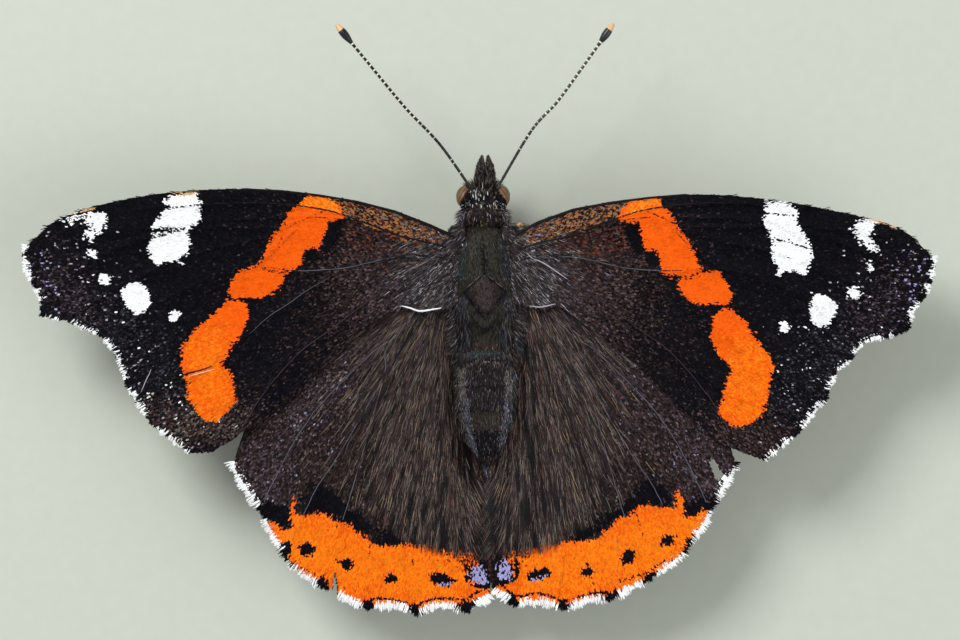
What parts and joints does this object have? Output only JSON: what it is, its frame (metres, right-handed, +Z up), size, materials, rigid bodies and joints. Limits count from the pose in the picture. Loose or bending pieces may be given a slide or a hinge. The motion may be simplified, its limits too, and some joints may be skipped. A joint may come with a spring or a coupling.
{
  "type": "butterfly",
  "caption": "Still life-size butterfly with black wings, orange bands and white spots, basking flat on four legs with its wings spread.",
  "frame": {"origin": "on the floor under the middle of the overall box", "axes": "-Y towards the head, +X towards the insect's own left wing tip, +Z up"},
  "size_m": [0.0647, 0.0424, 0.0088],
  "materials": {
    "thorax": "olive grey hair",
    "prothorax": "black-brown hair",
    "abdomen": "grey-black hair and scales",
    "head": "black-brown hair",
    "eye_left": "glossy amber brown, faceted",
    "eye_right": "glossy amber brown, faceted",
    "palp_left": "hairy dark grey",
    "palp_right": "hairy dark grey",
    "proboscis": "brown, ringed",
    "antenna_left": "black ringed with white, cream tip",
    "antenna_right": "black ringed with white, cream tip",
    "forewing_left": "scaled, black with an orange band and white spots",
    "forewing_right": "scaled, black with an orange band and white spots",
    "hindwing_left": "scaled, dark brown with an orange border",
    "hindwing_right": "scaled, dark brown with an orange border",
    "foreleg_left": "tan, scaled",
    "foreleg_right": "tan, scaled",
    "midleg_left": "tan, scaled",
    "midleg_right": "tan, scaled",
    "hindleg_left": "tan, scaled",
    "hindleg_right": "tan, scaled"
  },
  "bodies": {
    "root": {"thorax": "thorax", "prothorax": "prothorax", "abdomen": "abdomen", "head": "head", "eye_left": "eye_left", "eye_right": "eye_right", "palp_left": "palp_left", "palp_right": "palp_right", "proboscis": "proboscis", "antenna_left": "antenna_left", "antenna_right": "antenna_right", "forewing_left": "forewing_left", "forewing_right": "forewing_right", "hindwing_left": "hindwing_left", "hindwing_right": "hindwing_right", "foreleg_left": "foreleg_left", "foreleg_right": "foreleg_right", "midleg_left": "midleg_left", "midleg_right": "midleg_right", "hindleg_left": "hindleg_left", "hindleg_right": "hindleg_right"}
  },
  "joints": []
}
